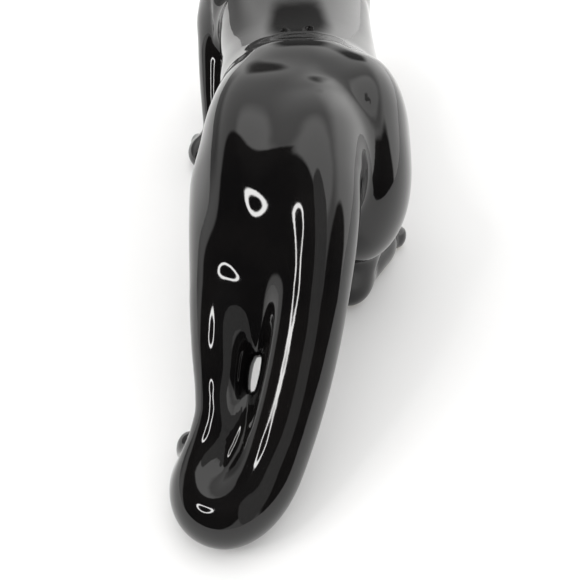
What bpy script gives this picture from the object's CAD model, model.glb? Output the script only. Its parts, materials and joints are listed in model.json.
import json
import math

import bpy
import numpy as np
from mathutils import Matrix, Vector


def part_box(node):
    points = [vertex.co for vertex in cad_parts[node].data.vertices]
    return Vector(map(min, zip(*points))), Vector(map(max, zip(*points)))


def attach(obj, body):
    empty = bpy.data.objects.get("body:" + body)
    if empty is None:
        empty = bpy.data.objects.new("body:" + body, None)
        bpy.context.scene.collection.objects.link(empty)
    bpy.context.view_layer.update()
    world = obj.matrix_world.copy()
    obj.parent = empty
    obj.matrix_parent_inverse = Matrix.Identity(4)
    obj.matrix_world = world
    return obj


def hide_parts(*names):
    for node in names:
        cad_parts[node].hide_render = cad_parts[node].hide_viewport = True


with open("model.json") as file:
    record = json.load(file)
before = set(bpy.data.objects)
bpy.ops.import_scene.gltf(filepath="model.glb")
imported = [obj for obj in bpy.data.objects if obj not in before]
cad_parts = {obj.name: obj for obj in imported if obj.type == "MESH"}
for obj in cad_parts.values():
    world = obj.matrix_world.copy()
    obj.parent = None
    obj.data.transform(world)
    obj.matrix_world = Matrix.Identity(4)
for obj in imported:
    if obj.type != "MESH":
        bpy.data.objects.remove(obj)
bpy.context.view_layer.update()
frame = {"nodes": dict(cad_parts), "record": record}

# The figure is laid out in millimetres about the haunches, the belly plate's middle at (-4.5, 135).
_lo, _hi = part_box("belly_plate")
SHIFT = np.array([(_lo.x + _hi.x) / 2 * 1000 + 4.5, (_lo.y + _hi.y) / 2 * 1000 - 135.0, 0.0])


# =============================================================================
# A small signed-distance modeller: everything works on a regular grid, which
# finds the surface, and on loose points, which puts each vertex exactly on it.
# =============================================================================
def smin(a, b, k):
    if k <= 0:
        return np.minimum(a, b)
    h = np.clip(0.5 + 0.5 * (b - a) / k, 0, 1)
    return b * (1 - h) + a * h - k * h * (1 - h)


class Field:
    fine = 10

    def apply(self, fn, lo, hi, k=0.0, mode="union"):
        m = k + 2 * self.h
        s = self.region([lo[i] - m for i in range(3)], [hi[i] + m for i in range(3)])
        x, y, z = self.at(s)
        if min(x.size, y.size, z.size) == 0:
            return
        d = fn(x, y, z)
        a = self.F[s]
        if mode == "union":
            self.F[s] = smin(a, d, k)
        elif mode == "cut":
            self.F[s] = -smin(-a, d, k)
        else:
            self.F[s] = -smin(-a, -d, k)


class Grid(Field):
    def __init__(self, lo, hi, h):
        self.h = h
        self.lo = np.array(lo, float)
        self.n = np.ceil((np.array(hi, float) - self.lo) / h).astype(int) + 1
        self.ax = [self.lo[i] + h * np.arange(self.n[i]) for i in range(3)]
        self.F = np.full(tuple(self.n), 60.0)

    def region(self, lo, hi):
        out = []
        for i in range(3):
            a = max(0, int(np.floor((lo[i] - self.lo[i]) / self.h)))
            b = min(self.n[i], int(np.ceil((hi[i] - self.lo[i]) / self.h)) + 1)
            out.append(slice(a, max(a, b)))
        return tuple(out)

    def at(self, s):
        return self.ax[0][s[0]][:, None, None], self.ax[1][s[1]][None, :, None], self.ax[2][s[2]][None, None, :]


class Points(Field):
    fine = 36

    def __init__(self, P, h):
        self.h = h
        self.P = P
        self.F = np.full(len(P), 60.0)

    def region(self, lo, hi):
        return np.where(((self.P >= np.array(lo)) & (self.P <= np.array(hi))).all(1))[0]

    def at(self, s):
        p = self.P[s]
        return p[:, 0], p[:, 1], p[:, 2]


def rot(rx=0, ry=0, rz=0):
    rx, ry, rz = np.radians([rx, ry, rz])
    cx, sx, cy, sy, cz, sz = np.cos(rx), np.sin(rx), np.cos(ry), np.sin(ry), np.cos(rz), np.sin(rz)
    X = np.array([[1, 0, 0], [0, cx, -sx], [0, sx, cx]])
    Y = np.array([[cy, 0, sy], [0, 1, 0], [-sy, 0, cy]])
    Z = np.array([[cz, -sz, 0], [sz, cz, 0], [0, 0, 1]])
    return Z @ Y @ X


def ellipsoid(F, c, r, ang=(0, 0, 0), k=0.0, mode="union"):
    R = rot(*ang)
    c = np.array(c, float)
    r = np.array(r, float)
    e = np.sqrt(((R * r[None, :]) ** 2).sum(1))

    def fn(x, y, z):
        px, py, pz = x - c[0], y - c[1], z - c[2]
        q = [R[0, i] * px + R[1, i] * py + R[2, i] * pz for i in range(3)]
        k0 = np.sqrt(sum((q[i] / r[i]) ** 2 for i in range(3)))
        k1 = np.sqrt(sum((q[i] / r[i] ** 2) ** 2 for i in range(3)))
        return k0 * (k0 - 1.0) / np.maximum(k1, 1e-6)
    F.apply(fn, c - e, c + e, k, mode)


def catmull(pts, n):
    P = np.array(pts, float)
    P = np.vstack([2 * P[0] - P[1], P, 2 * P[-1] - P[-2]])
    out = []
    for i in range(1, len(P) - 2):
        p0, p1, p2, p3 = P[i - 1], P[i], P[i + 1], P[i + 2]
        for t in np.arange(n) / n:
            out.append(0.5 * ((2 * p1) + (-p0 + p2) * t + (2 * p0 - 5 * p1 + 4 * p2 - p3) * t * t
                              + (-p0 + 3 * p1 - 3 * p2 + p3) * t ** 3))
    out.append(P[-2])
    return np.array(out)


def tube(F, pts, k=0.0, mode="union"):
    """A round tube through rows (x, y, z, radius)."""
    C = catmull(pts, F.fine)
    c, r = C[:, :3], C[:, 3]
    lo = (c - r[:, None]).min(0)
    hi = (c + r[:, None]).max(0)
    a, b = c[:-1], c[1:]

    def fn(x, y, z):
        shp = np.broadcast_shapes(x.shape, y.shape, z.shape)
        X, Y, Z = (np.broadcast_to(v, shp) for v in (x, y, z))
        best = np.full(shp, 1e9)
        for i in range(len(a)):
            d = b[i] - a[i]
            L = d @ d
            if L < 1e-9:
                continue
            t = np.clip(((X - a[i, 0]) * d[0] + (Y - a[i, 1]) * d[1] + (Z - a[i, 2]) * d[2]) / L, 0, 1)
            px, py, pz = X - a[i, 0] - t * d[0], Y - a[i, 1] - t * d[1], Z - a[i, 2] - t * d[2]
            np.minimum(best, np.sqrt(px * px + py * py + pz * pz) - (r[i] + t * (r[i + 1] - r[i])), out=best)
        return best
    F.apply(fn, lo, hi, k, mode)


def cubic(xs, ys, x):
    n = len(xs)
    m = np.zeros_like(ys)
    m[1:-1] = (ys[2:] - ys[:-2]) / (xs[2:] - xs[:-2])[:, None]
    m[0] = (ys[1] - ys[0]) / (xs[1] - xs[0])
    m[-1] = (ys[-1] - ys[-2]) / (xs[-1] - xs[-2])
    x = np.clip(x, xs[0], xs[-1])
    i = np.clip(np.searchsorted(xs, x) - 1, 0, n - 2)
    h = xs[i + 1] - xs[i]
    t = ((x - xs[i]) / h)[..., None]
    h = h[..., None]
    return ((2 * t ** 3 - 3 * t ** 2 + 1) * ys[i] + (t ** 3 - 2 * t ** 2 + t) * h * m[i]
            + (-2 * t ** 3 + 3 * t ** 2) * ys[i + 1] + (t ** 3 - t ** 2) * h * m[i + 1])


def hull(F, stations, k=0.0, mode="union"):
    """A body along Y through rows (y, x, z, half width, up, down, exponent)."""
    S = np.array(stations, float)
    ys = S[:, 0]
    lo = [(S[:, 1] - S[:, 3]).min(), ys[0], (S[:, 2] - S[:, 5]).min()]
    hi = [(S[:, 1] + S[:, 3]).max(), ys[-1], (S[:, 2] + S[:, 4]).max()]

    def fn(x, y, z):
        yy = y.ravel()
        P = cubic(ys, S[:, 1:], yy)
        G = cubic(ys, S[:, 1:], yy + 0.5) - cubic(ys, S[:, 1:], yy - 0.5)
        xc, zc, a, bt, bb, e = [P[:, i].reshape(y.shape) for i in range(6)]
        ga = G[:, 2].reshape(y.shape)
        dx, dz = x - xc, z - zc
        b = np.where(dz > 0, bt, bb)
        u, v = np.abs(dx) / a, np.abs(dz) / b
        rho = (u ** e + v ** e) ** (1 / e)
        gx = np.where(rho > 1e-4, (u / np.maximum(rho, 1e-4)) ** (e - 1) / a, 0)
        gz = np.where(rho > 1e-4, (v / np.maximum(rho, 1e-4)) ** (e - 1) / b, 0)
        g = np.sqrt(gx * gx + gz * gz)
        d = (rho - 1) / np.maximum(g, 1e-3) / np.sqrt(1 + np.minimum(np.abs(ga), 3.0) ** 2)
        d = np.where(rho < 1e-4, -np.minimum(a, b), d)
        return np.maximum(d, np.maximum(ys[0] - y, y - ys[-1]) + 0 * d)
    F.apply(fn, lo, hi, k, mode)


def slot_prism(F, w, l, z0, z1, x0=-4.5, y0=135.0, k=0.0, mode="cut"):
    """An upright prism with round ends, w wide and l long along Y."""
    r = w / 2

    def fn(x, y, z):
        py = np.maximum(np.abs(y - y0) - (l / 2 - r), 0)
        d = np.sqrt((x - x0) ** 2 + py * py) - r
        return np.maximum(d, np.maximum(z0 - z, z - z1) + 0 * d)
    F.apply(fn, [x0 - r, y0 - l / 2, z0], [x0 + r, y0 + l / 2, z1], k, mode)


def ring_bead(F, c, axis, R, r, k=0.0, mode="union"):
    c = np.array(c, float)
    n = np.array(axis, float)
    n /= np.linalg.norm(n)

    def fn(x, y, z):
        p = [x - c[0], y - c[1], z - c[2]]
        h = p[0] * n[0] + p[1] * n[1] + p[2] * n[2]
        q = np.sqrt(np.maximum(sum(v * v for v in p) - h * h, 0))
        return np.sqrt((q - R) ** 2 + h * h) - r
    F.apply(fn, c - R - r, c + R + r, k, mode)


# =============================================================================
# The panther
# =============================================================================
TORSO = [
    (-60, 1.0, 88, 3, 3, 4, 2.0), (-52, 0.8, 88, 12, 11, 14, 2.0), (-40, 0.6, 90, 20, 20, 24, 2.0),
    (-22, 0.6, 92, 30, 27, 30, 2.0), (0, 0.5, 92, 38, 33, 34, 2.1), (25, 0, 91, 44, 37, 34, 2.2),
    (55, -1, 89, 46.5, 34, 32, 2.2), (90, -2, 88, 47.5, 32, 33, 2.2), (130, -3.5, 87, 50, 34, 36, 2.2),
    (170, -4.5, 88, 52, 38, 39, 2.2), (205, -5, 90, 52, 42, 41, 2.1), (235, -5, 94, 45, 40, 40, 2.1),
    (260, -5, 100, 34, 33, 34, 2.0), (285, -5, 106, 20, 20, 22, 2.0), (296, -5, 108, 4, 4, 4, 2.0),
]
CAVITY = [
    (-34, 1.0, 89, 14, 9, 9, 2.0), (-16, 0.8, 91, 28, 20, 20, 2.0), (5, 0.5, 92, 36, 26, 26, 2.0),
    (25, 0, 92.5, 39, 29, 29, 2.0), (55, -1, 90, 40, 27, 27, 2.0), (90, -2, 87.5, 41, 26, 26, 2.0),
    (130, -3.5, 86, 43, 28, 28, 2.0), (170, -4.5, 87.5, 45, 32, 32, 2.0), (205, -5, 90.5, 45, 35, 35, 2.0),
    (235, -5, 97, 38, 33, 33, 2.0), (258, -5, 106, 29, 28, 28, 2.0), (280, -5, 115, 22, 22, 22, 2.0),
    (303, -5, 122, 17, 15, 15, 2.0),
]
TAIL = [
    (4, -20, 104, 18), (4.5, -40, 103, 20), (4, -70, 92, 19.4), (1.3, -100, 69.5, 16.5), (-4.2, -124, 48, 15.3),
    (-12, -146, 29, 14.4), (-20, -162, 18.5, 13.9), (-31, -170.5, 14.5, 13), (-40, -168, 14.5, 11.6),
    (-44.2, -158.5, 17.5, 9.6), (-43.6, -149, 21, 8), (-42, -140.5, 24, 5.5),
]
EYES = [((-5 + s * 16.2, 328.5, 130.5), (s * 0.62, 0.62, 0.48)) for s in (-1, 1)]


def toes(F, c, r, turn=0.0):
    """Three grooves between the toes of a paw, and the pads' bulge in front."""
    a = math.radians(turn)
    fwd = np.array([-math.sin(a), math.cos(a)])
    side = np.array([math.cos(a), math.sin(a)])
    for s in (-1.5, -0.5, 0.5, 1.5):
        p = np.array(c[:2]) + fwd * (r[1] * (0.70 if abs(s) > 1 else 0.84)) + side * (s * r[0] * 0.48)
        ellipsoid(F, (p[0], p[1], 6.2), (r[0] * 0.29, r[1] * 0.34, 7.6), (0, 0, turn - s * 9), k=3.5)
    for s in (-1, 0, 1):
        o = side * (s * r[0] * 0.50)
        rows = []
        for f, z, q in ((1.22, 3.0, 1.5), (1.12, 8.5, 1.7), (0.86, 14.5, 1.4), (0.55, 19.0, 0.7)):
            p = np.array(c[:2]) + fwd * (r[1] * f * (0.88 if s else 1.0)) + o * (1.0 if f > 0.7 else 0.85)
            rows.append((p[0], p[1], z * r[2] / 12.5, q))
        tube(F, rows, k=2.6, mode="cut")


def outside(F):
    hull(F, TORSO)
    # neck and head
    tube(F, [(-5, 225, 104, 34), (-5, 255, 112, 31), (-5, 285, 121, 27), (-5, 305, 125, 24)], k=16)
    ellipsoid(F, (-5, 312, 126), (27, 26, 23), k=10)
    ellipsoid(F, (-5, 333, 118), (15.5, 18, 13), k=8)
    for s in (-1, 1):
        ellipsoid(F, (-5 + s * 18, 316, 116), (11.5, 14, 12.5), (0, 0, -s * 12), k=8)      # jaw
        ellipsoid(F, (-5 + s * 7.6, 342, 115.5), (8.6, 8.5, 8.0), k=3.0)                   # whisker pads
        ellipsoid(F, (-5 + s * 12.0, 329, 139.0), (8.5, 6.0, 4.2), (-18, s * 18, s * 24), k=5)   # brow
    ellipsoid(F, (-5, 340, 107.0), (8.0, 8.5, 6.0), k=4)                                   # chin
    tube(F, [(-5, 322, 137, 8.5), (-5, 335, 129.5, 6.5), (-5, 346, 123.5, 5.0)], k=5)       # bridge of the nose
    ellipsoid(F, (-5, 349.0, 121.5), (5.6, 3.6, 4.0), k=1.8)                               # nose
    # haunches
    ellipsoid(F, (30, 3, 77.5), (24.6, 44, 49.5), (8, 0, 0), k=13)
    ellipsoid(F, (26.4, -26.5, 69.5), (23.6, 29.5, 34.5), (0, 0, 0), k=14)
    ellipsoid(F, (-30, -22, 79.5), (22.5, 58, 41), (24, 0, 0), k=14)
    # rump, full between the haunches and over the root of the tail
    ellipsoid(F, (9, -34, 95), (17, 34, 23), (24, 0, 0), k=10)
    # left hind leg, stretched back
    tube(F, [(-31.5, -36, 74, 21), (-32.7, -62, 64, 20.8), (-34.6, -84, 56, 18.2), (-36.0, -106, 46.5, 14.6),
             (-36.5, -122, 36, 11.8), (-36, -136, 28, 11.2), (-36, -146, 18, 10.5), (-36, -152, 11, 9.5)], k=16)
    ellipsoid(F, (-34.5, -152, 9.5), (23, 26, 12.5), k=6)
    # web between the leg and the tail
    tube(F, [(-10, -10, 98, 24), (-12, -40, 92, 25), (-12.5, -62, 83, 23.5), (-12, -82, 68, 18.5), (-13.5, -97, 53, 12.5)], k=13)
    # right hind leg
    tube(F, [(30, 10, 62, 24), (30, -6, 44, 18), (28, -18, 27, 13.5), (25, -22, 13, 13)], k=9)
    tube(F, [(24, -22, 11, 12.8), (31, -9, 11, 12.8), (37, 3, 11, 13.6), (42, 14, 10, 14.2), (45, 25, 9, 13)], k=6)
    # left foreleg, back
    ellipsoid(F, (-46, 205, 86), (27, 40, 44), k=14)
    tube(F, [(-52, 196, 74, 23), (-56, 180, 58, 18.5), (-58, 160, 40, 14.5), (-58, 143, 24, 12.2), (-59, 136, 14, 10.5)], k=9)
    ellipsoid(F, (-60, 129, 9.5), (20.8, 24, 12.5), k=6)
    # right foreleg, forward
    ellipsoid(F, (24, 212, 84), (25, 40, 42), k=14)
    tube(F, [(29, 215, 70, 20), (32, 230, 52, 16.5), (34, 250, 34, 13), (35, 264, 22, 12), (36, 272, 14, 10.5)], k=9)
    ellipsoid(F, (36, 278, 9.5), (19, 25, 12.5), k=6)
    # shoulder blades and the dip between them
    for s in (-1, 1):
        tube(F, [(-5 + s * 22, 190, 121, 5), (-5 + s * 19, 212, 127, 8), (-5 + s * 17, 232, 128, 6)], k=12)
    tube(F, TAIL, k=9)


def figure(F):
    outside(F)
    # toes
    toes(F, (-60, 129, 9.5), (20.8, 24, 12.5), 0)
    toes(F, (36, 278, 9.5), (19, 25, 12.5), 0)
    toes(F, (-34.5, -152, 9.5), (23, 26, 12.5), 0)
    toes(F, (43.5, 18, 9.5), (15.5, 20, 12.5), -22)
    # ears: a cupped, rounded leaf each
    for s in (-1, 1):
        ellipsoid(F, (-5 + s * 18.0, 303.5, 144.5), (8.8, 5.2, 10.8), (12, s * 24, -s * 22), k=3.5)
        ellipsoid(F, (-5 + s * 19.2, 308.3, 146.5), (5.6, 4.6, 8.0), (12, s * 24, -s * 22), k=1.6, mode="cut")
    # eyelids round the glass
    for c, d in EYES:
        c, d = np.array(c), np.array(d) / np.linalg.norm(d)
        ellipsoid(F, c + d * 6.0, (8.2, 8.2, 8.2), k=2.0, mode="cut")
        ring_bead(F, c + d * 1.2, d, 6.9, 1.5, k=1.2)
        e = c + d * 1.8
        s = np.sign(d[0])
        tube(F, [(e[0] - s * 9.0, e[1] + 4.5, e[2] - 1.5, 0.7), (e[0] - s * 5.5, e[1] + 5.5, e[2] - 3.5, 1.2)], k=1.0, mode="cut")
    # nostrils, the line under the nose, the mouth
    for s in (-1, 1):
        ellipsoid(F, (-5 + s * 2.7, 352.2, 121.0), (1.3, 1.8, 1.0), (0, 0, 0), k=0.8, mode="cut")
        tube(F, [(-5, 351.4, 112.4, 0.9), (-5 + s * 6, 350.2, 110.4, 0.9), (-5 + s * 12, 344.0, 110.2, 0.9),
                 (-5 + s * 16, 335.0, 112.6, 0.8), (-5 + s * 18, 330.0, 114.5, 0.5)], k=1.3, mode="cut")
        for i, (yy, zz) in enumerate(((344.5, 118.6), (347.5, 116.6), (343.5, 114.4), (340.0, 117.0))):
            ellipsoid(F, (-5 + s * (15.0 if yy < 345 else 13.2), yy + 1.0, zz), (1.5, 0.9, 0.9), k=0.6, mode="cut")
    tube(F, [(-5, 352.8, 118.0, 0.9), (-5, 351.9, 115.0, 0.9), (-5, 351.4, 112.4, 0.9)], k=1.3, mode="cut")
    # boss round the opening, cavity, opening
    slot_prism(F, 54, 110, 53.5, 63, k=3, mode="union")
    if isinstance(F, Grid):
        C = Grid(F.lo, F.lo + F.h * (F.n - 1), F.h)
    else:
        C = Points(F.P, F.h)
    hull(C, CAVITY)
    ellipsoid(C, (-5, 310, 124), (19, 16, 16), k=6)
    slot_prism(C, 54, 110, 40, 60, k=2, mode="cut")
    slot_prism(C, 46, 102, 60, 72, k=2, mode="union")
    F.inside = C.F.copy()
    F.F = -smin(-F.F, C.F, 1.0)
    slot_prism(F, 60, 114, 30, 53.5, k=0.0)
    slot_prism(F, 34, 90, 45, 66, k=0.6)

    # feet ground level
    def ground(x, y, z):
        return 1.0 - z + 0 * x + 0 * y
    F.apply(ground, [-200, -400, -60], [200, 500, 6], 1.2, "inter")


def surface_nets(V, lo, h):
    nx, ny, nz = V.shape
    S = V < 0
    cells = np.zeros((nx - 1, ny - 1, nz - 1), np.int8)
    for dx in (0, 1):
        for dy in (0, 1):
            for dz in (0, 1):
                cells += S[dx:nx - 1 + dx, dy:ny - 1 + dy, dz:nz - 1 + dz]
    active = (cells > 0) & (cells < 8)
    idx = -np.ones(active.shape, np.int64)
    ijk = np.argwhere(active)
    idx[active] = np.arange(len(ijk))
    acc = np.zeros((len(ijk), 3))
    cnt = np.zeros(len(ijk))
    corners = [(0, 0, 0), (1, 0, 0), (0, 1, 0), (1, 1, 0), (0, 0, 1), (1, 0, 1), (0, 1, 1), (1, 1, 1)]
    vals = np.stack([V[ijk[:, 0] + c[0], ijk[:, 1] + c[1], ijk[:, 2] + c[2]] for c in corners], 1)
    for p, q in [(0, 1), (2, 3), (4, 5), (6, 7), (0, 2), (1, 3), (4, 6), (5, 7), (0, 4), (1, 5), (2, 6), (3, 7)]:
        a, b = vals[:, p], vals[:, q]
        m = (a < 0) != (b < 0)
        t = np.where(m, a / np.where(m, a - b, 1), 0)
        cp, cq = np.array(corners[p], float), np.array(corners[q], float)
        acc += (cp[None] + t[:, None] * (cq - cp)[None]) * m[:, None]
        cnt += m
    P = np.array(lo)[None] + (ijk + acc / cnt[:, None]) * h
    quads = []
    for axis in range(3):
        o = [(1, 2), (2, 0), (0, 1)][axis]
        s0, s1 = [slice(None)] * 3, [slice(None)] * 3
        s0[axis], s1[axis] = slice(0, -1), slice(1, None)
        A, B = S[tuple(s0)], S[tuple(s1)]
        e = np.argwhere(A != B)
        e = e[(e[:, o[0]] > 0) & (e[:, o[1]] > 0) & (e[:, o[0]] < V.shape[o[0]] - 1) & (e[:, o[1]] < V.shape[o[1]] - 1)]
        sgn = A[e[:, 0], e[:, 1], e[:, 2]]

        def cell(d0, d1):
            c = e.copy()
            c[:, o[0]] -= d0
            c[:, o[1]] -= d1
            return idx[c[:, 0], c[:, 1], c[:, 2]]
        q = np.stack([cell(1, 1), cell(0, 1), cell(0, 0), cell(1, 0)], 1)
        q[~sgn] = q[~sgn][:, ::-1]
        quads.append(q)
    return P, np.vstack(quads)


def evaluate(build, P, h):
    F = Points(P, h)
    build(F)
    return F


def gradient(build, P, h, e=0.3):
    G = np.zeros_like(P)
    for i in range(3):
        a, b = P.copy(), P.copy()
        a[:, i] += e
        b[:, i] -= e
        G[:, i] = (evaluate(build, a, h).F - evaluate(build, b, h).F) / (2 * e)
    return G


def sculpt(build, lo, hi, h, name, material):
    g = Grid(lo, hi, h)
    build(g)
    P, Q = surface_nets(g.F, g.lo, h)
    P0 = P.copy()
    edges = np.vstack([Q[:, [0, 1]], Q[:, [1, 2]], Q[:, [2, 3]], Q[:, [3, 0]]])
    edges = np.unique(np.sort(edges, 1), axis=0)
    deg = np.maximum(np.bincount(edges.ravel(), minlength=len(P)), 1)[:, None]

    def around(X):
        S = np.zeros_like(X)
        for c in range(X.shape[1]):
            S[:, c] = (np.bincount(edges[:, 0], X[edges[:, 1], c], len(P)) + np.bincount(edges[:, 1], X[edges[:, 0], c], len(P)))
        return S / deg
    for step in range(3):
        G = gradient(build, P, h)
        n2 = np.maximum((G * G).sum(1), 0.09)
        f = evaluate(build, P, h).F
        P = P - np.clip(f / n2, -0.5 * h, 0.5 * h)[:, None] * G
        if step < 2:          # even the quads out along the surface
            N = G / np.sqrt(n2)[:, None]
            L = around(P) - P
            L -= (L * N).sum(1)[:, None] * N
            P = P + 0.4 * L
        P = P0 + np.clip(P - P0, -1.1 * h, 1.1 * h)
    G = gradient(build, P, h, 0.4)
    N = G / np.maximum(np.linalg.norm(G, axis=1), 1e-6)[:, None]
    for _ in range(2):
        N = N + 0.8 * (around(N) - N)
        N /= np.maximum(np.linalg.norm(N, axis=1), 1e-6)[:, None]
    inner = evaluate(build, P, h).inside
    mesh = bpy.data.meshes.new(name)
    V = (P + SHIFT) / 1000.0
    mesh.vertices.add(len(V))
    mesh.vertices.foreach_set("co", V.astype(np.float32).ravel())
    mesh.loops.add(Q.size)
    mesh.loops.foreach_set("vertex_index", Q.astype(np.int32).ravel())
    mesh.polygons.add(len(Q))
    mesh.polygons.foreach_set("loop_start", np.arange(0, Q.size, 4, dtype=np.int32))
    mesh.polygons.foreach_set("use_smooth", np.ones(len(Q), bool))
    mesh.update(calc_edges=True)
    mesh.validate()
    att = mesh.attributes.new("raw_clay", "FLOAT", "POINT")
    att.data.foreach_set("value", np.clip(1.0 - np.abs(inner) / 1.5, 0, 1).astype(np.float32))
    mesh.normals_split_custom_set_from_vertices(N.astype(np.float32))
    o = bpy.data.objects.new(name, mesh)
    bpy.context.scene.collection.objects.link(o)
    mesh.materials.append(material)
    return o


# =============================================================================
# Materials
# =============================================================================
class Mat:
    def __init__(self, name):
        self.m = bpy.data.materials.new(name)
        self.m.use_nodes = True
        self.t = self.m.node_tree
        self.t.nodes.clear()
        self.out = self.t.nodes.new("ShaderNodeOutputMaterial")
        self.b = self.t.nodes.new("ShaderNodeBsdfPrincipled")
        self.t.links.new(self.b.outputs[0], self.out.inputs[0])
        self.co = self.t.nodes.new("ShaderNodeTexCoord").outputs["Object"]
        self.geo = self.t.nodes.new("ShaderNodeNewGeometry")

    def put(self, socket, v):
        if isinstance(v, bpy.types.NodeSocket):
            self.t.links.new(v, socket)
        elif isinstance(v, (tuple, list)) and len(v) == 3 and socket.type == "RGBA":
            socket.default_value = (*v, 1.0)
        else:
            socket.default_value = v
        return socket

    def set(self, **kw):
        names = {"color": "Base Color", "rough": "Roughness", "metal": "Metallic", "ior": "IOR", "coat": "Coat Weight",
                 "coat_rough": "Coat Roughness", "sheen": "Sheen Weight", "normal": "Normal", "coat_normal": "Coat Normal",
                 "trans": "Transmission Weight", "spec": "Specular IOR Level", "aniso": "Anisotropic", "sheen_rough": "Sheen Roughness"}
        for k, v in kw.items():
            self.put(self.b.inputs[names[k]], v)
        return self

    def stretch(self, sx, sy, sz, rot_z=0.0):
        n = self.t.nodes.new("ShaderNodeMapping")
        self.t.links.new(self.co, n.inputs["Vector"])
        n.inputs["Scale"].default_value = (sx, sy, sz)
        n.inputs["Rotation"].default_value = (0, 0, rot_z)
        return n.outputs[0]

    def noise(self, scale, detail=3.0, rough=0.5, dist=0.0, vec=None):
        n = self.t.nodes.new("ShaderNodeTexNoise")
        self.t.links.new(vec or self.co, n.inputs["Vector"])
        n.inputs["Scale"].default_value = scale
        n.inputs["Detail"].default_value = detail
        n.inputs["Roughness"].default_value = rough
        n.inputs["Distortion"].default_value = dist
        return n.outputs["Fac"]

    def cells(self, scale, out="Distance", feature="F1", vec=None):
        n = self.t.nodes.new("ShaderNodeTexVoronoi")
        n.feature = feature
        self.t.links.new(vec or self.co, n.inputs["Vector"])
        n.inputs["Scale"].default_value = scale
        return n.outputs[out]

    def waves(self, scale, direction="X", distortion=0.0, detail_scale=1.0, kind="BANDS", vec=None):
        n = self.t.nodes.new("ShaderNodeTexWave")
        n.wave_type = kind
        if kind == "BANDS":
            n.bands_direction = direction
        self.t.links.new(vec or self.co, n.inputs["Vector"])
        n.inputs["Scale"].default_value = scale
        n.inputs["Distortion"].default_value = distortion
        n.inputs["Detail Scale"].default_value = detail_scale
        return n.outputs["Fac"]

    def ramp(self, fac, stops, mode="LINEAR"):
        n = self.t.nodes.new("ShaderNodeValToRGB")
        n.color_ramp.interpolation = mode
        self.t.links.new(fac, n.inputs[0])
        el = n.color_ramp.elements
        while len(el) < len(stops):
            el.new(0.5)
        for e, (p, c) in zip(el, stops):
            e.position = p
            e.color = (*c, 1.0) if isinstance(c, (tuple, list)) else (c, c, c, 1.0)
        return n.outputs[0]

    def mix(self, fac, a, b, kind="MIX"):
        n = self.t.nodes.new("ShaderNodeMix")
        n.data_type = "RGBA"
        n.blend_type = kind
        self.put(n.inputs[0], fac)
        self.put(n.inputs[6], a)
        self.put(n.inputs[7], b)
        return n.outputs[2]

    def math(self, op, a, b=0.0, clamp=False):
        n = self.t.nodes.new("ShaderNodeMath")
        n.operation = op
        n.use_clamp = clamp
        self.put(n.inputs[0], a)
        self.put(n.inputs[1], b)
        return n.outputs[0]

    def bump(self, height, strength, dist, normal=None):
        n = self.t.nodes.new("ShaderNodeBump")
        self.put(n.inputs["Height"], height)
        n.inputs["Strength"].default_value = strength
        n.inputs["Distance"].default_value = dist
        if normal is not None:
            self.t.links.new(normal, n.inputs["Normal"])
        return n.outputs[0]

    def edge(self, lo=0.52, hi=0.60):
        return self.ramp(self.geo.outputs["Pointiness"], [(lo, 0.0), (hi, 1.0)])

    def attr(self, name):
        n = self.t.nodes.new("ShaderNodeAttribute")
        n.attribute_name = name
        return n.outputs["Fac"]

    def z(self):
        n = self.t.nodes.new("ShaderNodeSeparateXYZ")
        self.t.links.new(self.geo.outputs["Position"], n.inputs[0])
        return n.outputs["Z"]


def glaze():
    m = Mat("black_glaze")
    # the glaze: near black, a breath of brown where it runs thin over edges
    thin = m.math("MULTIPLY", m.edge(0.54, 0.66), m.ramp(m.noise(90, 4), [(0.35, 0.2), (0.7, 1.0)]))
    body = m.mix(m.ramp(m.noise(28, 4, 0.6), [(0.35, 0.0), (0.75, 1.0)]), (0.0030, 0.0028, 0.0030), (0.0065, 0.0058, 0.0055))
    body = m.mix(m.math("MULTIPLY", thin, 0.55), body, (0.020, 0.011, 0.007))
    # dust motes and pinholes, sparse
    mote = m.ramp(m.cells(520), [(0.0, 1.0), (0.055, 1.0), (0.075, 0.0)])
    mote = m.math("MULTIPLY", mote, m.ramp(m.noise(34, 2, vec=m.stretch(1, 1, 1, 0.7)), [(0.60, 0.0), (0.66, 1.0)]))
    body = m.mix(m.math("MULTIPLY", mote, 0.30), body, (0.10, 0.10, 0.10))
    # raw clay: inside, and the ground feet
    clay_n = m.noise(420, 5, 0.65)
    clay = m.mix(clay_n, (0.46, 0.40, 0.32), (0.66, 0.60, 0.51))
    clay = m.mix(m.ramp(m.noise(45, 4), [(0.55, 0.0), (0.72, 0.7)]), clay, (0.22, 0.17, 0.13))
    foot = m.math("LESS_THAN", m.z(), 0.00135)
    raw = m.math("MAXIMUM", m.ramp(m.math("ADD", m.attr("raw_clay"), m.math("MULTIPLY", m.noise(150, 3), 0.25)), [(0.52, 0.0), (0.60, 1.0)]), foot)
    col = m.mix(raw, body, clay)
    smear = m.ramp(m.noise(16, 5, 0.62, 0.8), [(0.42, 0.026), (0.62, 0.050), (0.80, 0.12)])
    fine = m.ramp(m.noise(900, 2), [(0.3, 0.0), (0.8, 0.015)])
    rough = m.math("ADD", smear, fine)
    rough = m.math("ADD", rough, m.math("MULTIPLY", mote, 0.35))
    rough = m.mix(raw, rough, (0.85, 0.85, 0.85))
    wave = m.bump(m.noise(34, 2, 0.45), 0.45, 0.00028)
    peel = m.bump(m.noise(260, 2, 0.4), 0.16, 0.00004, wave)
    grit = m.bump(m.math("MULTIPLY", clay_n, raw), 0.6, 0.0004, peel)
    m.set(color=col, rough=rough, normal=grit, ior=1.54, spec=0.5)
    return m.m


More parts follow.
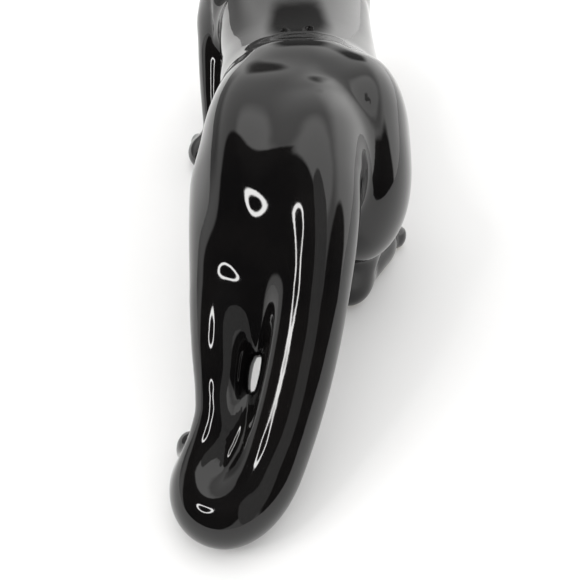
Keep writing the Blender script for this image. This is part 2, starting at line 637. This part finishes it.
def green_glass():
    m = Mat("green_glass")
    streak = m.noise(160, 4, 0.6, 1.5)
    col = m.mix(streak, (0.004, 0.085, 0.016), (0.025, 0.26, 0.045))
    face = m.t.nodes.new("ShaderNodeLayerWeight")
    face.inputs["Blend"].default_value = 0.35
    rim = m.ramp(face.outputs["Facing"], [(0.15, 0.0), (0.75, 1.0)])
    col = m.mix(rim, m.mix(m.noise(90, 2), col, (0.10, 0.48, 0.07)), (0.001, 0.022, 0.006))
    seed = m.ramp(m.cells(900), [(0.0, 1.0), (0.10, 1.0), (0.16, 0.0)])
    m.set(color=m.mix(m.math("MULTIPLY", seed, 0.5), col, (0.30, 0.62, 0.30)), rough=m.ramp(m.noise(700, 3), [(0.3, 0.02), (0.8, 0.07)]),
          trans=0.45, ior=1.52, coat=0.8, coat_rough=0.02, normal=m.bump(m.noise(300, 2), 0.2, 0.0002))
    return m.m


def felt():
    m = Mat("felt")
    n = m.noise(1600, 6, 0.7, 1.2)
    col = m.mix(n, (0.018, 0.045, 0.024), (0.075, 0.135, 0.085))
    col = m.mix(m.ramp(m.noise(120, 3), [(0.5, 0.0), (0.8, 0.6)]), col, (0.11, 0.11, 0.09))
    m.set(color=col, rough=m.ramp(n, [(0.2, 0.86), (0.8, 1.0)]), sheen=0.5, sheen_rough=0.4, normal=m.bump(n, 0.9, 0.0006))
    return m.m


def cork():
    m = Mat("cork")
    c = m.cells(520, "Color")
    n = m.noise(900, 4, 0.7)
    col = m.mix(c, (0.30, 0.17, 0.08), (0.55, 0.37, 0.20))
    col = m.mix(m.ramp(m.cells(420), [(0.0, 1.0), (0.12, 0.0)]), col, (0.10, 0.05, 0.025))
    m.set(color=m.mix(m.math("MULTIPLY", n, 0.5), col, (0.42, 0.27, 0.14)), rough=m.ramp(n, [(0.2, 0.7), (0.8, 0.95)]),
          normal=m.bump(m.cells(520), 0.7, 0.0004))
    return m.m


def zinc():
    m = Mat("zinc_steel")
    spangle = m.cells(130, "Color")
    streak = m.noise(160, 4, 0.6, vec=m.stretch(14, 1, 1))
    col = m.mix(m.math("MULTIPLY", streak, 0.7), (0.60, 0.59, 0.56), (0.36, 0.35, 0.33))
    col = m.mix(0.18, col, spangle, "MULTIPLY")
    rust = m.ramp(m.noise(85, 6, 0.7), [(0.60, 0.0), (0.70, 1.0)])
    rust = m.math("MULTIPLY", rust, 0.75)
    col = m.mix(rust, col, m.mix(m.noise(600, 4), (0.11, 0.045, 0.018), (0.26, 0.12, 0.045)))
    m.set(color=col, metal=m.math("SUBTRACT", 0.96, m.math("MULTIPLY", rust, 0.9)), rough=m.mix(rust, m.ramp(streak, [(0.2, 0.24), (0.8, 0.44)]), (0.85, 0.85, 0.85)),
          normal=m.bump(m.math("ADD", m.noise(900, 3, vec=m.stretch(10, 1, 1)), rust), 0.22, 0.0002))
    return m.m


def brass():
    m = Mat("brass")
    cloud = m.ramp(m.noise(70, 5, 0.65, 0.6), [(0.40, 0.0), (0.68, 1.0)])
    col = m.mix(cloud, (0.72, 0.50, 0.20), (0.30, 0.19, 0.085))
    col = m.mix(m.math("MULTIPLY", m.edge(), 0.8), col, (0.90, 0.70, 0.36))
    col = m.mix(m.ramp(m.noise(260, 4), [(0.66, 0.0), (0.74, 0.8)]), col, (0.10, 0.13, 0.08))
    m.set(color=col, metal=0.95, rough=m.math("ADD", m.math("MULTIPLY", cloud, 0.22), m.ramp(m.noise(1200, 3), [(0.2, 0.20), (0.8, 0.34)])),
          normal=m.bump(m.noise(1400, 3, vec=m.stretch(6, 1, 1)), 0.18, 0.00012))
    return m.m


def phenolic():
    m = Mat("phenolic")
    swirl = m.noise(60, 6, 0.6, 2.5)
    col = m.mix(m.ramp(swirl, [(0.40, 0.0), (0.65, 1.0)]), (0.016, 0.008, 0.005), (0.055, 0.024, 0.012))
    col = m.mix(m.math("MULTIPLY", m.edge(0.53, 0.62), 0.55), col, (0.12, 0.065, 0.036))
    scuff = m.ramp(m.noise(420, 5, 0.7, vec=m.stretch(1, 7, 1, 0.5)), [(0.55, 0.0), (0.75, 1.0)])
    m.set(color=col, rough=m.math("ADD", m.ramp(swirl, [(0.3, 0.16), (0.8, 0.27)]), m.math("MULTIPLY", scuff, 0.22)),
          normal=m.bump(m.math("ADD", m.noise(700, 3), m.math("MULTIPLY", scuff, 0.5)), 0.14, 0.00015), coat=0.15)
    return m.m


def paper():
    m = Mat("paper")
    fib = m.noise(900, 6, 0.75, 1.0, vec=m.stretch(1, 5, 1))
    col = m.mix(fib, (0.22, 0.14, 0.075), (0.46, 0.33, 0.20))
    col = m.mix(m.ramp(m.noise(110, 4), [(0.58, 0.0), (0.75, 0.6)]), col, (0.12, 0.07, 0.04))
    m.set(color=col, rough=m.ramp(fib, [(0.2, 0.72), (0.8, 0.92)]), normal=m.bump(fib, 0.5, 0.0002))
    return m.m


def rubber():
    m = Mat("rubber")
    n = m.noise(800, 4, 0.6)
    col = m.mix(m.ramp(m.noise(90, 4), [(0.5, 0.0), (0.8, 1.0)]), (0.012, 0.012, 0.012), (0.05, 0.048, 0.045))
    m.set(color=col, rough=m.ramp(n, [(0.2, 0.52), (0.8, 0.80)]), normal=m.bump(n, 0.35, 0.0002))
    return m.m


def cord_jacket():
    m = Mat("cord_jacket")
    grain = m.noise(700, 4, 0.6)
    col = m.mix(m.ramp(m.noise(60, 4), [(0.35, 0.0), (0.75, 1.0)]), (0.050, 0.024, 0.012), (0.105, 0.055, 0.028))
    col = m.mix(m.ramp(m.noise(240, 4, 0.7), [(0.60, 0.0), (0.75, 0.5)]), col, (0.17, 0.13, 0.10))
    rib = m.waves(260, "DIAGONAL", 0.6)
    m.set(color=col, rough=m.ramp(grain, [(0.2, 0.42), (0.8, 0.62)]), normal=m.bump(m.math("ADD", grain, m.math("MULTIPLY", rib, 0.35)), 0.3, 0.0002), sheen=0.1)
    return m.m


def clear_glass():
    m = Mat("clear_glass")
    haze = m.ramp(m.noise(120, 4, 0.6), [(0.4, 0.02), (0.8, 0.10)])
    m.set(color=m.mix(m.noise(60, 3), (0.96, 0.96, 0.94), (0.86, 0.86, 0.84)), trans=0.96, rough=haze, ior=1.5,
          normal=m.bump(m.noise(90, 2), 0.15, 0.0003))
    return m.m


def black_glass():
    m = Mat("black_glass")
    n = m.noise(500, 3)
    m.set(color=m.mix(n, (0.006, 0.006, 0.008), (0.02, 0.018, 0.022)), rough=m.ramp(n, [(0.2, 0.10), (0.8, 0.22)]), normal=m.bump(n, 0.2, 0.0002))
    return m.m


def tungsten():
    m = Mat("tungsten")
    n = m.noise(2400, 3)
    m.set(color=m.mix(n, (0.20, 0.20, 0.22), (0.42, 0.42, 0.44)), metal=0.9, rough=m.ramp(n, [(0.2, 0.35), (0.8, 0.6)]), normal=m.bump(n, 0.4, 0.00006))
    return m.m


MATS = {f.__name__: f for f in (green_glass, felt, cork, brass, phenolic, paper, rubber, cord_jacket, clear_glass, black_glass, tungsten)}
MATS["zinc_steel"] = zinc
made = {n: f() for n, f in MATS.items()}
made["black_glaze"] = glaze()
for part in frame["record"]["subparts"]:
    node = frame["nodes"].get(part["node"])
    if node is None:
        continue
    node.data.materials.clear()
    node.data.materials.append(made[part["material_slot"]])

# =============================================================================
# The casting
# =============================================================================
H = 2.15
panther = sculpt(figure, (-96, -194, -5.3), (74, 360, 165), H, "panther_casting", made["black_glaze"])
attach(panther, "lamp")
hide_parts("figure_shell")

# =============================================================================
# Floor, light, camera
# =============================================================================
mesh = bpy.data.meshes.new("floor")
mesh.from_pydata([(-40, -40, -0.0001), (40, -40, -0.0001), (40, 40, -0.0001), (-40, 40, -0.0001)], [], [(0, 1, 2, 3)])
floor = bpy.data.objects.new("floor", mesh)
bpy.context.scene.collection.objects.link(floor)
fm = Mat("floor_paper")
fm.set(color=fm.mix(fm.noise(3, 3), (0.93, 0.93, 0.93), (0.95, 0.95, 0.95)), rough=0.9, spec=0.1)
mesh.materials.append(fm.m)


def unit(az, el):
    a, e = math.radians(az), math.radians(el)
    return (math.sin(a) * math.cos(e), math.cos(a) * math.cos(e), math.sin(e))


# a white tent: brighter overhead, with the dark front it is looked into from, and two small ring lamps in it
w = bpy.data.worlds.new("tent")
bpy.context.scene.world = w
w.use_nodes = True
t = w.node_tree
t.nodes.clear()


def n_math(op, a, b=0.0, c=None, clamp=False):
    n = t.nodes.new("ShaderNodeMath")
    n.operation = op
    n.use_clamp = clamp
    for i, v in enumerate((a, b, c)):
        if v is None:
            continue
        if isinstance(v, bpy.types.NodeSocket):
            t.links.new(v, n.inputs[i])
        else:
            n.inputs[i].default_value = v
    return n.outputs[0]


coord = t.nodes.new("ShaderNodeTexCoord").outputs["Generated"]
norm = t.nodes.new("ShaderNodeVectorMath")
norm.operation = "NORMALIZE"
t.links.new(coord, norm.inputs[0])


def n_dot(v):
    n = t.nodes.new("ShaderNodeVectorMath")
    n.operation = "DOT_PRODUCT"
    t.links.new(norm.outputs[0], n.inputs[0])
    n.inputs[1].default_value = v
    return n.outputs["Value"]


def smooth(v, lo, hi):
    n = t.nodes.new("ShaderNodeMapRange")
    n.interpolation_type = "SMOOTHSTEP"
    t.links.new(v, n.inputs["Value"])
    n.inputs["From Min"].default_value = lo
    n.inputs["From Max"].default_value = hi
    n.inputs["To Min"].default_value = 0.0
    n.inputs["To Max"].default_value = 1.0
    return n.outputs[0]


def degrees_from(v):
    return n_math("MULTIPLY", n_math("ARCCOSINE", n_math("MINIMUM", n_math("MAXIMUM", n_dot(v), -1.0), 1.0)), 180 / math.pi)


def patch(az, el, half_w, half_h, soft):
    """1 inside a rounded rectangle of the sky about (az, el), 0 outside."""
    c = np.array(unit(az, el))
    r = np.array(unit(az + 90, 0))
    u = np.cross(r, c)
    u = u if u[2] > 0 else -u
    dc = n_dot(tuple(c))
    ax = n_math("MULTIPLY", n_math("ARCTAN2", n_dot(tuple(r)), dc), 180 / math.pi)
    ay = n_math("MULTIPLY", n_math("ARCTAN2", n_dot(tuple(u)), dc), 180 / math.pi)
    px = n_math("POWER", n_math("DIVIDE", n_math("ABSOLUTE", ax), half_w), 4.0)
    py = n_math("POWER", n_math("DIVIDE", n_math("ABSOLUTE", ay), half_h), 4.0)
    rho = n_math("POWER", n_math("ADD", px, py), 0.25)
    s = soft / max(half_w, half_h)
    return n_math("SUBTRACT", 1.0, smooth(rho, 1 - s, 1 + s))


up = n_dot((0, 0, 1))
elev = n_math("MULTIPLY", n_math("ARCSINE", up), 180 / math.pi)
level = n_math("ADD", 0.86, n_math("MULTIPLY", smooth(elev, 50, 60), 0.80))
# brighter on the right, dimmer low on the left and in one soft flag straight ahead
level = n_math("ADD", level, n_math("MULTIPLY", patch(62, 16, 46, 32, 16), 1.0))
level = n_math("MULTIPLY", level, n_math("SUBTRACT", 1.0, n_math("MULTIPLY", patch(318, 0, 26, 16, 9), 0.60)))
level = n_math("MULTIPLY", level, n_math("SUBTRACT", 1.0, n_math("MULTIPLY", patch(0, 13, 8.5, 9.5, 3.0), 0.88)))
dark = n_math("MAXIMUM", patch(228, 40, 52, 44, 2.5), patch(116, 15, 26, 27, 2.5))
level = n_math("MULTIPLY", level, n_math("SUBTRACT", 1.0, n_math("MULTIPLY", dark, 0.965)))
# the grey gap between the two dark sides, a little mottled
gap = patch(153, 48, 14, 48, 1.5)
mottle = t.nodes.new("ShaderNodeTexNoise")
mottle.inputs["Scale"].default_value = 55.0
mottle.inputs["Detail"].default_value = 3.0
t.links.new(norm.outputs[0], mottle.inputs["Vector"])
grey = n_math("ADD", 0.16, n_math("MULTIPLY", mottle.outputs["Fac"], 0.62))
level = n_math("ADD", n_math("MULTIPLY", level, n_math("SUBTRACT", 1.0, gap)), n_math("MULTIPLY", grey, gap))
for az, el, rad, wid, power in ((246, 45, 8.8, 1.5, 17.0),):
    d = degrees_from(unit(az, el))
    ring = n_math("SUBTRACT", 1.0, smooth(n_math("ABSOLUTE", n_math("SUBTRACT", d, rad)), wid * 0.5, wid * 1.2))
    level = n_math("ADD", level, n_math("MULTIPLY", ring, power))
# what the camera itself sees past the floor's edge is the same pale paper
path = t.nodes.new("ShaderNodeLightPath").outputs["Is Camera Ray"]
level = n_math("ADD", n_math("MULTIPLY", level, n_math("SUBTRACT", 1.0, path)), n_math("MULTIPLY", path, 1.0))
soft = t.nodes.new("ShaderNodeLightPath").outputs["Is Diffuse Ray"]
level = n_math("ADD", n_math("MULTIPLY", level, n_math("SUBTRACT", 1.0, soft)), n_math("MULTIPLY", soft, 1.08))
bg = t.nodes.new("ShaderNodeBackground")
t.links.new(level, bg.inputs["Strength"])
bg.inputs["Color"].default_value = (1.0, 0.995, 0.985, 1.0)
wo = t.nodes.new("ShaderNodeOutputWorld")
t.links.new(bg.outputs[0], wo.inputs[0])

light = bpy.data.lights.new("overhead", "AREA")
light.shape = "DISK"
light.size = 2.4
light.energy = 5.0
lamp = bpy.data.objects.new("overhead", light)
lamp.location = (0.0, 0.1, 2.2)
bpy.context.scene.collection.objects.link(lamp)
lamp.visible_glossy = False

bpy.context.scene.view_settings.view_transform = "Standard"
bpy.context.scene.view_settings.look = "None"

cam_data = bpy.data.cameras.new("camera")
cam_data.sensor_width = 36.0
cam_data.lens = 713.0 / 580.0 * 36.0
cam = bpy.data.objects.new("camera", cam_data)
bpy.context.scene.collection.objects.link(cam)
cam.location = ((-7.4 + SHIFT[0]) / 1000, (-330.6 + SHIFT[1]) / 1000, 0.264)
look = Vector((0, math.cos(math.radians(40)), -math.sin(math.radians(40))))
cam.rotation_euler = look.to_track_quat("-Z", "Y").to_euler()
cam_data.clip_start = 0.01
bpy.context.scene.camera = cam
